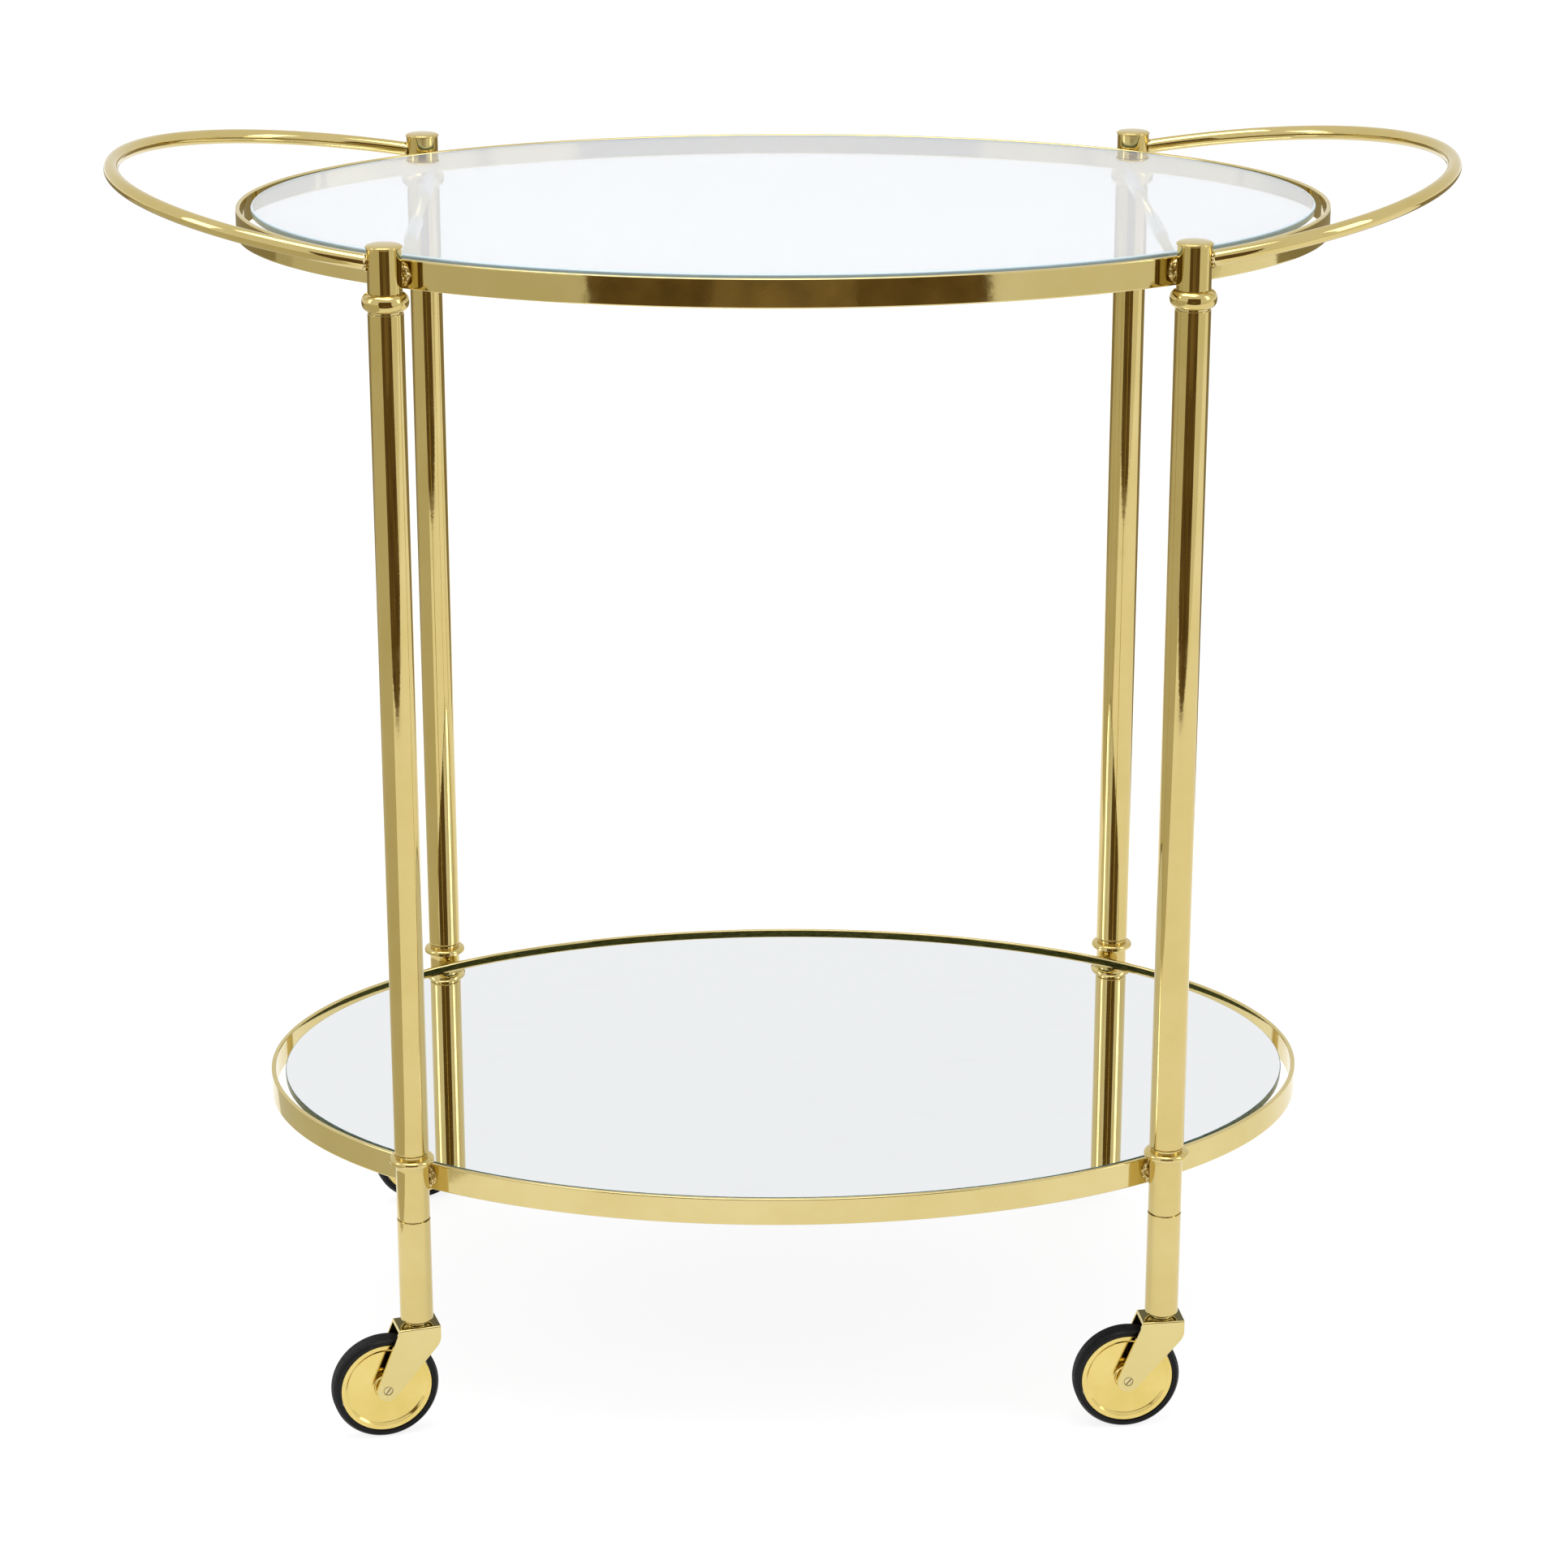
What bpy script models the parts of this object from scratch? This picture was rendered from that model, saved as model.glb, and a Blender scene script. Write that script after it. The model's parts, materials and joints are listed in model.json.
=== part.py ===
"""Oval two-shelf bar cart on four swivel casters, in metres, +Z up.

The origin is on the floor under the centre of the cart. X runs from handle to handle, and the
front of the cart faces -Y. Heights are stacked upwards from the floor, starting with the wheels.
"""

import math

import bmesh
import bpy
from mathutils import Vector

# --- Driving dimensions -------------------------------------------------------------------

# Oval hoops of flat strip, one at each shelf
HOOP_LENGTH = 0.698
HOOP_WIDTH = 0.481
HOOP_THICKNESS = 0.003
HOOP_HEIGHT = 0.018

# Shelves, which lie inside the hoops
GLASS_THICKNESS = 0.005
MIRROR_THICKNESS = 0.005
SHELF_GAP = 0.0065  # between a shelf's edge and its hoop, all round
GLASS_PROUD = 0.0007  # glass top above its hoop's top edge
MIRROR_RECESS = 0.003  # mirror top below its hoop's top edge

# Support rods, front to back under each shelf, with clear sleeves for the shelf to rest on
ROD_DIAMETER = 0.006
ROD_INSET = 0.010  # a rod's axis inwards from the legs' axes
SLEEVE_DIAMETER = 0.0085
SLEEVE_LENGTH = 0.060
SLEEVE_SPREAD = 0.140  # between the centres of a rod's two sleeves

# Legs: post, bead, long tube, socket and foot, one above the other
LEG_SPREAD = 0.484
WELD_GAP = 0.0014  # between a post and the hoop it is welded to
POST_DIAMETER = 0.0212
POST_WALL = 0.0015
UPPER_POST_LENGTH = 0.0275
LOWER_POST_LENGTH = 0.034
LEG_TUBE_DIAMETER = 0.022
LEG_TUBE_WALL = 0.0012
LEG_TUBE_LENGTH = 0.547
FOOT_DIAMETER = 0.0215
FOOT_WALL = 0.0015
FOOT_LENGTH = 0.0705
SOCKET_BORE = 0.010

# Turned trim on the legs
BEAD_PROUD = 0.0034  # bead and socket rim beyond the leg tube, on each side
BEAD_HEIGHT = 0.0106
CUP_HEIGHT = 0.0087
CUP_SHOULDER = 0.0029  # rounded upper edge of the cup
CUP_COVE = 0.0029  # hollow curve from the cup down to the post
UPPER_GROOVE = 0.0012
LOWER_GROOVE = 0.0022
FOOT_GROOVE = 0.001
GROOVE_DEPTH = 0.0008
SPIGOT_LENGTH = 0.012
CAP_OVERHANG = 0.0007
CAP_LIP = 0.0009
CAP_DOME = 0.0013
CAP_PLUG_LENGTH = 0.006

# Handles: a rod bowed outwards and upwards from the front post to the rear post
HANDLE_ROD_DIAMETER = 0.0094
HANDLE_CLEARANCE = 0.0723  # between the hoop's end and the inside of the rod
HANDLE_RISE = 0.031
HANDLE_BELOW_HOOP_TOP = 0.004

# Casters
WHEEL_DIAMETER = 0.070
TYRE_WIDTH = 0.013
TYRE_DEPTH = 0.005
WHEEL_RIM_WIDTH = 0.011
WHEEL_RIM_DEPTH = 0.0045
WHEEL_DISH_DEPTH = 0.0015
HUB_DIAMETER = 0.010
AXLE_DIAMETER = 0.005
AXLE_HEAD_DIAMETER = 0.0058
AXLE_SLOT_WIDTH = 0.0008
AXLE_SLOT_DEPTH = 0.0006
AXLE_SLOT_TURN = 50.0  # degrees about the axle
FORK_SHEET = 0.002
FORK_WIDTH = 0.021
FORK_LENGTH = 0.027
FORK_SHOULDER = 0.0115  # straight part of the fork's side, below its top
FORK_BOSS_DIAMETER = 0.0146
TYRE_TO_FORK = 0.0045
CASTER_TRAIL = 0.0225
FORK_TO_FOOT = 0.0035
STEM_SHOULDER_DIAMETER = 0.0125
STEM_PIN_DIAMETER = 0.006
STEM_RIVET_DIAMETER = 0.010
STEM_RIVET_HEIGHT = 0.002
STEM_GRIP_LENGTH = 0.030

# Clearances between neighbouring pieces
FIT_GAP = 0.0003
RUNNING_GAP = 0.00015
HOOP_TO_BEAD = 0.0008
HOOP_TO_CUP = 0.0004

# Each corner: its side along X, its side along Y, and where its caster trails, in degrees
CORNERS = {
    "front_left": (-1, -1, 196.5),
    "front_right": (1, -1, 186.0),
    "rear_left": (-1, 1, 200.0),
    "rear_right": (1, 1, 176.0),
}

# How finely round shapes are divided
HOOP_STEPS = 72
LEG_STEPS = 16
STEM_STEPS = 12
WHEEL_STEPS = 32
HANDLE_STEPS = 24

# --- Sizes that follow --------------------------------------------------------------------

post_radius = POST_DIAMETER / 2
tube_radius = LEG_TUBE_DIAMETER / 2
foot_radius = FOOT_DIAMETER / 2
post_bore = post_radius - POST_WALL
tube_bore = tube_radius - LEG_TUBE_WALL
foot_bore = foot_radius - FOOT_WALL
bead_radius = tube_radius + BEAD_PROUD
neck_radius = tube_radius - GROOVE_DEPTH
foot_neck_radius = min(post_radius, foot_radius) - GROOVE_DEPTH
wheel_radius = WHEEL_DIAMETER / 2

# Heights, from the floor up
fork_top = WHEEL_DIAMETER + TYRE_TO_FORK + FORK_SHEET
foot_bottom = fork_top + FORK_TO_FOOT
foot_top = foot_bottom + FOOT_LENGTH
lower_post_bottom = foot_top + FOOT_GROOVE
cup_bottom = lower_post_bottom + LOWER_POST_LENGTH
cup_top = cup_bottom + CUP_HEIGHT
tube_bottom = cup_top + LOWER_GROOVE
tube_top = tube_bottom + LEG_TUBE_LENGTH
bead_bottom = tube_top + UPPER_GROOVE
bead_top = bead_bottom + BEAD_HEIGHT
post_top = bead_top + UPPER_POST_LENGTH
lower_hoop_top = cup_bottom - HOOP_TO_CUP
lower_hoop_bottom = lower_hoop_top - HOOP_HEIGHT
upper_hoop_bottom = bead_top + HOOP_TO_BEAD
upper_hoop_top = upper_hoop_bottom + HOOP_HEIGHT
glass_bottom = upper_hoop_top + GLASS_PROUD - GLASS_THICKNESS
mirror_bottom = lower_hoop_top - MIRROR_RECESS - MIRROR_THICKNESS
handle_height = upper_hoop_top - HANDLE_BELOW_HOOP_TOP


# --- Plan of the oval ---------------------------------------------------------------------


def oval_point(angle, offset=0.0):
    """A point of the hoop's outside, moved outwards by an offset along the oval's normal."""
    half_length = HOOP_LENGTH / 2
    half_width = HOOP_WIDTH / 2
    on_oval = Vector((half_length * math.cos(angle), half_width * math.sin(angle), 0))
    normal = Vector((half_width * math.cos(angle), half_length * math.sin(angle), 0))
    return on_oval + normal.normalized() * offset


def oval_angle(reach, offset):
    """The angle in the first quarter where the offset oval is as far along X as reach."""
    low, high = 0.0, math.pi / 2
    for _ in range(60):
        middle = (low + high) / 2
        if oval_point(middle, offset).x > reach:
            low = middle
        else:
            high = middle
    return low


def oval_outline(offset):
    return [oval_point(math.tau * step / HOOP_STEPS, offset) for step in range(HOOP_STEPS)]


leg_to_hoop = post_radius + WELD_GAP
weld_angle = oval_angle(LEG_SPREAD / 2, leg_to_hoop)
leg_place = oval_point(weld_angle, leg_to_hoop)
rod_reach = leg_place.x - ROD_INSET
handle_reach = HOOP_LENGTH / 2 + HANDLE_CLEARANCE + HANDLE_ROD_DIAMETER / 2 - leg_place.x


# --- Scene, materials and building blocks -------------------------------------------------


def clear_scene():
    for leftover in list(bpy.data.objects):
        bpy.data.objects.remove(leftover, do_unlink=True)


def new_collection(name):
    made = bpy.data.collections.new(name)
    bpy.context.scene.collection.children.link(made)
    return made


def finish(name, colour, metallic=0.0, roughness=0.5, transmission=0.0):
    material = bpy.data.materials.new(name)
    material.use_nodes = True
    shader = material.node_tree.nodes["Principled BSDF"]
    shader.inputs["Base Color"].default_value = (*colour, 1.0)
    shader.inputs["Metallic"].default_value = metallic
    shader.inputs["Roughness"].default_value = roughness
    shader.inputs["Transmission Weight"].default_value = transmission
    return material


clear_scene()
cart = new_collection("oval_bar_cart")
cutters = new_collection("cutters")
brass = finish("polished_brass", (0.80, 0.62, 0.30), metallic=1.0, roughness=0.12)
wheel_brass = finish("wheel_brass", (0.86, 0.64, 0.20), metallic=1.0, roughness=0.10)
glass = finish("clear_glass", (0.93, 0.97, 0.96), roughness=0.02, transmission=1.0)
mirror = finish("silvered_mirror", (0.90, 0.92, 0.92), metallic=1.0, roughness=0.02)
rubber = finish("tyre_rubber", (0.02, 0.02, 0.022), roughness=0.6)
sleeve_plastic = finish("clear_sleeve", (0.90, 0.92, 0.93), roughness=0.15, transmission=0.8)
steel = finish("plated_steel", (0.72, 0.70, 0.66), metallic=1.0, roughness=0.25)


def add_object(name, data, material):
    made = bpy.data.objects.new(name, data)
    made.data.materials.append(material)
    cart.objects.link(made)
    return made


def turned(name, profile, material, steps=LEG_STEPS, closed=True):
    """A turned piece about its own Z axis, from (radius, height) points down its outer side."""
    mesh = bpy.data.meshes.new(name)
    points = [(radius, 0, height) for radius, height in profile]
    edges = [(i, i + 1) for i in range(len(points) - 1)]
    if closed:
        edges.append((len(points) - 1, 0))
    mesh.from_pydata(points, edges, [])
    made = add_object(name, mesh, material)
    screw = made.modifiers.new("turn", "SCREW")
    screw.steps = steps
    screw.render_steps = steps
    screw.use_merge_vertices = True
    screw.merge_threshold = 0.00001
    screw.use_smooth_shade = True
    return made


def arc(centre, radii, start, end, count):
    """Points on an elliptical arc of a profile, with angles in degrees."""
    points = []
    for step in range(count):
        angle = math.radians(start + (end - start) * step / (count - 1))
        points.append((centre[0] + radii[0] * math.cos(angle), centre[1] + radii[1] * math.sin(angle)))
    return points


def tube(name, outside, bore, bottom, top, material):
    return turned(name, [(outside, top), (outside, bottom), (bore, bottom), (bore, top)], material)


def flat_outline(name, outlines, thickness, material):
    """A flat plate from closed outlines in its own XY plane, with its mid-plane at Z = 0."""
    curve = bpy.data.curves.new(name, "CURVE")
    curve.dimensions = "2D"
    curve.fill_mode = "BOTH"
    curve.extrude = thickness / 2
    for outline in outlines:
        spline = curve.splines.new("POLY")
        spline.points.add(len(outline) - 1)
        for point, place in zip(spline.points, outline):
            point.co = (place[0], place[1], 0, 1)
        spline.use_cyclic_u = True
    return add_object(name, curve, material)


def as_mesh(made):
    """The same object as a closed mesh, so that Booleans can work on it."""
    bpy.context.view_layer.update()
    evaluated = made.evaluated_get(bpy.context.evaluated_depsgraph_get())
    mesh = bpy.data.meshes.new_from_object(evaluated)
    shape = bmesh.new()
    shape.from_mesh(mesh)
    bmesh.ops.remove_doubles(shape, verts=shape.verts, dist=0.00001)
    shape.to_mesh(mesh)
    shape.free()
    name = made.name
    place = made.matrix_world.copy()
    bpy.data.objects.remove(made, do_unlink=True)
    solid = bpy.data.objects.new(name, mesh)
    cart.objects.link(solid)
    solid.matrix_world = place
    return solid


def as_cutter(tool, parent):
    for collection in tool.users_collection:
        collection.objects.unlink(tool)
    cutters.objects.link(tool)
    tool.hide_render = True
    tool.display_type = "WIRE"
    tool.parent = parent


def join_or_cut(target, tool, operation):
    boolean = target.modifiers.new(tool.name, "BOOLEAN")
    boolean.operation = operation
    boolean.solver = "EXACT"
    boolean.object = tool
    as_cutter(tool, target.parent)


def box_tool(name, size, place):
    bpy.ops.mesh.primitive_cube_add(size=1, location=place)
    tool = bpy.context.object
    tool.name = name
    tool.scale = size
    return tool


def rod_tool(name, radius, length, place, turn=(0, 0, 0), sides=STEM_STEPS):
    bpy.ops.mesh.primitive_cylinder_add(
        vertices=sides, radius=radius, depth=length, location=place, rotation=turn
    )
    tool = bpy.context.object
    tool.name = name
    return tool


# --- Hoops and shelves --------------------------------------------------------------------


def hoop(name, bottom):
    """A strip bent to an oval, with a weld pad standing out towards each of the four posts."""
    pad_diameter = HOOP_HEIGHT / 2
    pad_root = HOOP_THICKNESS / 2
    pad_length = pad_root + WELD_GAP - FIT_GAP
    strip = flat_outline(name, [oval_outline(0), oval_outline(-HOOP_THICKNESS)], HOOP_HEIGHT, brass)
    strip.location.z = bottom + HOOP_HEIGHT / 2
    strip = as_mesh(strip)
    for corner, (side_x, side_y, _) in CORNERS.items():
        inner = oval_point(weld_angle, -pad_root)
        outward = (oval_point(weld_angle, 1.0) - oval_point(weld_angle, 0.0)).normalized()
        middle = inner + outward * pad_length / 2
        place = (side_x * middle.x, side_y * middle.y, strip.location.z)
        turn = math.atan2(side_y * outward.y, side_x * outward.x)
        pad = rod_tool(f"{name}_{corner}_pad", pad_diameter / 2, pad_length, place, (0, math.pi / 2, turn))
        join_or_cut(strip, pad, "UNION")
    return strip


def shelf(name, bottom, thickness, material):
    inset = HOOP_THICKNESS + SHELF_GAP
    made = flat_outline(name, [oval_outline(-inset)], thickness, material)
    made.location.z = bottom + thickness / 2
    return made


def support_rod(name, side, shelf_bottom):
    """A rod whose ends stop just short of the hoop's inner face."""
    reach = rod_reach + ROD_DIAMETER / 2
    inner_y = oval_point(oval_angle(reach, -HOOP_THICKNESS), -HOOP_THICKNESS).y
    length = 2 * (inner_y - FIT_GAP)
    height = shelf_bottom - FIT_GAP - SLEEVE_DIAMETER / 2
    bpy.ops.mesh.primitive_cylinder_add(vertices=STEM_STEPS, radius=ROD_DIAMETER / 2, depth=length)
    rod = bpy.context.object
    rod.name = name
    rod.location = (side * rod_reach, 0, height)
    rod.rotation_euler.x = math.pi / 2
    rod.data.materials.append(brass)
    rod.users_collection[0].objects.unlink(rod)
    cart.objects.link(rod)
    return rod


def sleeve(name, rod, centre_y, length):
    bore = ROD_DIAMETER / 2 + FIT_GAP
    half = length / 2
    made = turned(
        name,
        [(SLEEVE_DIAMETER / 2, half), (SLEEVE_DIAMETER / 2, -half), (bore, -half), (bore, half)],
        sleeve_plastic,
        steps=STEM_STEPS,
    )
    made.location = (rod.location.x, centre_y, rod.location.z)
    made.rotation_euler.x = math.pi / 2
    return made


# --- Legs ---------------------------------------------------------------------------------


def post_cap(name):
    """A domed button, pressed into the top of the post."""
    edge = post_radius + CAP_OVERHANG
    plug = post_bore - FIT_GAP
    seat = post_top + FIT_GAP
    rim = seat + CAP_LIP
    dome = arc((0, rim), (edge, CAP_DOME), 90, 0, 5)
    profile = dome + [(edge, seat), (plug, seat), (plug, seat - CAP_PLUG_LENGTH)]
    return turned(name, profile + [(0, seat - CAP_PLUG_LENGTH)], brass, closed=False)


def bead_collar(name):
    """A solid turned bead between the upper post and the leg tube, with a spigot into each."""
    upper_spigot = post_bore - FIT_GAP
    lower_spigot = tube_bore - FIT_GAP
    middle = (bead_top + bead_bottom) / 2
    shoulder = post_radius - FIT_GAP
    upper_half = arc((shoulder, middle), (bead_radius - shoulder, BEAD_HEIGHT / 2), 90, 0, 4)
    lower_half = arc((neck_radius, middle), (bead_radius - neck_radius, BEAD_HEIGHT / 2), 0, -90, 4)
    groove_bottom = tube_top + FIT_GAP
    top = bead_top + SPIGOT_LENGTH
    upper = [(0, top), (upper_spigot, top), (upper_spigot, bead_top)]
    tip = tube_top - SPIGOT_LENGTH
    lower = [(neck_radius, groove_bottom), (lower_spigot, groove_bottom), (lower_spigot, tip), (0, tip)]
    return turned(name, upper + upper_half + lower_half[1:] + lower, brass, closed=False)


def lower_socket(name):
    """The lower post with its cup: a spigot into the leg tube above and into the foot below."""
    upper_spigot = tube_bore - FIT_GAP
    lower_spigot = foot_bore - FIT_GAP
    bore = SOCKET_BORE / 2
    widest = cup_top - CUP_SHOULDER
    rim = arc((neck_radius, widest), (bead_radius - neck_radius, CUP_SHOULDER), 90, 0, 4)
    cove = arc((bead_radius, cup_bottom), (bead_radius - post_radius, CUP_COVE), 120, 180, 3)
    top = tube_bottom + SPIGOT_LENGTH
    tip = foot_top - SPIGOT_LENGTH
    tube_seat = tube_bottom - FIT_GAP
    outside = [(upper_spigot, top), (upper_spigot, tube_seat), (neck_radius, tube_seat)]
    foot_seat = foot_top + FIT_GAP
    post_end = [(post_radius, lower_post_bottom), (foot_neck_radius, lower_post_bottom)]
    joint = post_end + [(foot_neck_radius, foot_seat)]
    spigot = [(lower_spigot, foot_seat), (lower_spigot, tip), (bore, tip), (bore, top)]
    return turned(name, outside + rim + cove + joint + spigot, brass)


def leg(corner, side_x, side_y):
    pieces = [
        post_cap(f"{corner}_post_cap"),
        tube(f"{corner}_upper_post", post_radius, post_bore, bead_top + FIT_GAP, post_top, brass),
        bead_collar(f"{corner}_bead_collar"),
        tube(f"{corner}_leg_tube", tube_radius, tube_bore, tube_bottom, tube_top, brass),
        lower_socket(f"{corner}_lower_socket"),
        tube(f"{corner}_foot_tube", foot_radius, foot_bore, foot_bottom, foot_top, brass),
        caster_stem(f"{corner}_caster_stem"),
    ]
    for piece in pieces:
        piece.location = (side_x * leg_place.x, side_y * leg_place.y, 0)


def handle(name, side):
    """A rod that leaves the front post sideways, bows out and up, and ends at the rear post."""
    slope = math.atan2(HANDLE_RISE, handle_reach)
    end_cap_reach = HANDLE_ROD_DIAMETER / 2 * math.sin(slope)
    sweep = math.acos((post_radius + FIT_GAP + end_cap_reach) / handle_reach)
    curve = bpy.data.curves.new(name, "CURVE")
    curve.dimensions = "3D"
    curve.bevel_depth = HANDLE_ROD_DIAMETER / 2
    curve.bevel_resolution = 3
    curve.use_fill_caps = True
    spline = curve.splines.new("POLY")
    spline.points.add(HANDLE_STEPS)
    for step, point in enumerate(spline.points):
        angle = sweep * (2 * step / HANDLE_STEPS - 1)
        x = side * (leg_place.x + handle_reach * math.cos(angle))
        y = leg_place.y * math.sin(angle)
        point.co = (x, y, handle_height + HANDLE_RISE * math.cos(angle), 1)
    return add_object(name, curve, brass)


# --- Casters ------------------------------------------------------------------------------


def caster_stem(name):
    """The grip in the foot, the shoulder below it, and the riveted pin that the fork turns on."""
    grip = foot_bore - FIT_GAP
    shoulder = STEM_SHOULDER_DIAMETER / 2
    pin = STEM_PIN_DIAMETER / 2
    rivet = STEM_RIVET_DIAMETER / 2
    grip_top = foot_bottom + STEM_GRIP_LENGTH
    rivet_top = fork_top - FORK_SHEET - FIT_GAP
    profile = [
        (0, grip_top),
        (grip, grip_top),
        (grip, foot_bottom + FIT_GAP),
        (shoulder, foot_bottom + FIT_GAP),
        (shoulder, fork_top + FIT_GAP),
        (pin, fork_top + FIT_GAP),
        (pin, rivet_top),
        (rivet, rivet_top),
        (rivet, rivet_top - STEM_RIVET_HEIGHT / 2),
        (pin, rivet_top - STEM_RIVET_HEIGHT),
        (0, rivet_top - STEM_RIVET_HEIGHT),
    ]
    return turned(name, profile, steel, steps=STEM_STEPS, closed=False)


def tangent_angle(point, centre, radius, side):
    """Where a line from a point touches a circle, as an angle about the circle's centre."""
    away = Vector(point) - Vector(centre)
    return math.atan2(away.y, away.x) + side * math.acos(radius / away.length)


def fork_outline():
    """The fork from the side: straight shoulders, then two edges that run down to a round boss."""
    half = FORK_LENGTH / 2
    shoulder = fork_top - FORK_SHOULDER
    boss = (CASTER_TRAIL, wheel_radius)
    radius = FORK_BOSS_DIAMETER / 2
    leading = tangent_angle((-half, shoulder), boss, radius, 1)
    trailing = tangent_angle((half, shoulder), boss, radius, -1)
    start, end = math.degrees(leading), math.degrees(trailing)
    if end < start:
        end += 360
    boss_arc = arc(boss, (radius, radius), start, end, 9)
    return [(half, fork_top), (-half, fork_top), (-half, shoulder)] + boss_arc + [(half, shoulder)]


def fork(name, pivot):
    """A stamped fork: the side outline as a block, hollowed between the cheeks, with its holes."""
    made = flat_outline(name, [fork_outline()], FORK_WIDTH, brass)
    made.rotation_euler.x = math.pi / 2
    made = as_mesh(made)
    made.parent = pivot
    hollow_top = fork_top - FORK_SHEET
    span = 2 * (CASTER_TRAIL + FORK_BOSS_DIAMETER)
    hollow_size = (span + FORK_LENGTH, FORK_WIDTH - 2 * FORK_SHEET, hollow_top)
    hollow = box_tool(f"{name}_hollow", hollow_size, (0, 0, hollow_top / 2))
    pin_hole = STEM_PIN_DIAMETER / 2 + RUNNING_GAP
    axle_hole = AXLE_HEAD_DIAMETER / 2 + RUNNING_GAP
    pivot_hole = rod_tool(f"{name}_pivot_hole", pin_hole, 3 * FORK_SHEET, (0, 0, fork_top - FORK_SHEET / 2))
    along_axle = (math.pi / 2, 0, 0)
    axle_place = (CASTER_TRAIL, 0, wheel_radius)
    cheek_hole = rod_tool(f"{name}_axle_hole", axle_hole, 2 * FORK_WIDTH, axle_place, along_axle)
    for tool in (hollow, pivot_hole, cheek_hole):
        join_or_cut(made, tool, "DIFFERENCE")
    return made


def axle(name, pivot):
    """A slotted axle screw: a head in each cheek, and the thinner shank that the hub runs on."""
    head = AXLE_HEAD_DIAMETER / 2
    shank = AXLE_DIAMETER / 2
    outer = FORK_WIDTH / 2
    inner = outer - FORK_SHEET
    upper = [(0, outer), (head, outer), (head, inner), (shank, inner)]
    lower = [(shank, -inner), (head, -inner), (head, -outer), (0, -outer)]
    made = turned(name, upper + lower, steel, steps=STEM_STEPS, closed=False)
    made.parent = pivot
    made.location = (CASTER_TRAIL, 0, wheel_radius)
    made.rotation_euler.x = math.pi / 2
    slot_size = (4 * head, 2 * AXLE_SLOT_DEPTH, AXLE_SLOT_WIDTH)
    slot = box_tool(f"{name}_slot", slot_size, (CASTER_TRAIL, outer, wheel_radius))
    slot.rotation_euler.y = math.radians(AXLE_SLOT_TURN)
    join_or_cut(made, slot, "DIFFERENCE")
    return made


def wheel(name, pivot):
    """The wheel between its tyre and its axle: a raised rim, a dished disc and a hub."""
    rim = wheel_radius - TYRE_DEPTH - FIT_GAP / 2
    dish = rim - WHEEL_RIM_DEPTH
    rim_face = WHEEL_RIM_WIDTH / 2
    dish_face = rim_face - WHEEL_DISH_DEPTH
    hub = HUB_DIAMETER / 2
    bore = AXLE_DIAMETER / 2 + RUNNING_GAP
    hub_face = FORK_WIDTH / 2 - FORK_SHEET - FIT_GAP
    near = [(dish + WHEEL_DISH_DEPTH / 2, rim_face), (rim, rim_face)]
    far = [(rim, -rim_face), (dish + WHEEL_DISH_DEPTH / 2, -rim_face)]
    far += [(dish, -dish_face), (hub, -dish_face)]
    hub_ends = [(hub, -hub_face), (bore, -hub_face), (bore, hub_face), (hub, hub_face)]
    profile = near + far + hub_ends + [(hub, dish_face), (dish, dish_face)]
    return place_on_axle(turned(name, profile, wheel_brass, steps=WHEEL_STEPS), pivot)


def tyre(name, pivot):
    """A rubber tyre with a flat tread and rounded shoulders."""
    inside = wheel_radius - TYRE_DEPTH + FIT_GAP / 2
    half = TYRE_WIDTH / 2
    tread = half / 2
    shoulder = wheel_radius - TYRE_DEPTH / 3
    upper = [(inside, half), (shoulder, half), (wheel_radius, tread)]
    lower = [(wheel_radius, -tread), (shoulder, -half), (inside, -half)]
    return place_on_axle(turned(name, upper + lower, rubber, steps=WHEEL_STEPS), pivot)


def place_on_axle(made, pivot):
    made.parent = pivot
    made.location = (CASTER_TRAIL, 0, wheel_radius)
    made.rotation_euler.x = math.pi / 2
    return made


def caster(corner, side_x, side_y, heading):
    pivot = bpy.data.objects.new(f"{corner}_swivel_axis", None)
    cart.objects.link(pivot)
    pivot.location = (side_x * leg_place.x, side_y * leg_place.y, 0)
    pivot.rotation_euler.z = math.radians(heading)
    fork(f"{corner}_fork", pivot)
    axle(f"{corner}_axle", pivot)
    wheel(f"{corner}_wheel", pivot)
    tyre(f"{corner}_tyre", pivot)


# --- The cart -----------------------------------------------------------------------------

hoop("upper_hoop", upper_hoop_bottom)
hoop("lower_hoop", lower_hoop_bottom)
shelf("top_glass", glass_bottom, GLASS_THICKNESS, glass)
shelf("lower_mirror", mirror_bottom, MIRROR_THICKNESS, mirror)

for side, side_name in ((-1, "left"), (1, "right")):
    handle(f"{side_name}_handle", side)
    upper_rod = support_rod(f"upper_{side_name}_rod", side, glass_bottom)
    sleeve(f"upper_{side_name}_front_sleeve", upper_rod, -SLEEVE_SPREAD / 2, SLEEVE_LENGTH)
    sleeve(f"upper_{side_name}_rear_sleeve", upper_rod, SLEEVE_SPREAD / 2, SLEEVE_LENGTH)
    lower_rod = support_rod(f"lower_{side_name}_rod", side, mirror_bottom)
    sleeve(f"lower_{side_name}_sleeve", lower_rod, 0, SLEEVE_SPREAD + SLEEVE_LENGTH)

for corner, (side_x, side_y, heading) in CORNERS.items():
    leg(corner, side_x, side_y)
    caster(corner, side_x, side_y, heading)

bpy.context.view_layer.update()
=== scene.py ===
"""Looks of the oval brass bar cart, built around its CAD frame, in metres, +Z up."""

import json
import math

import bmesh
import bpy
from mathutils import Matrix, Vector


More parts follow.
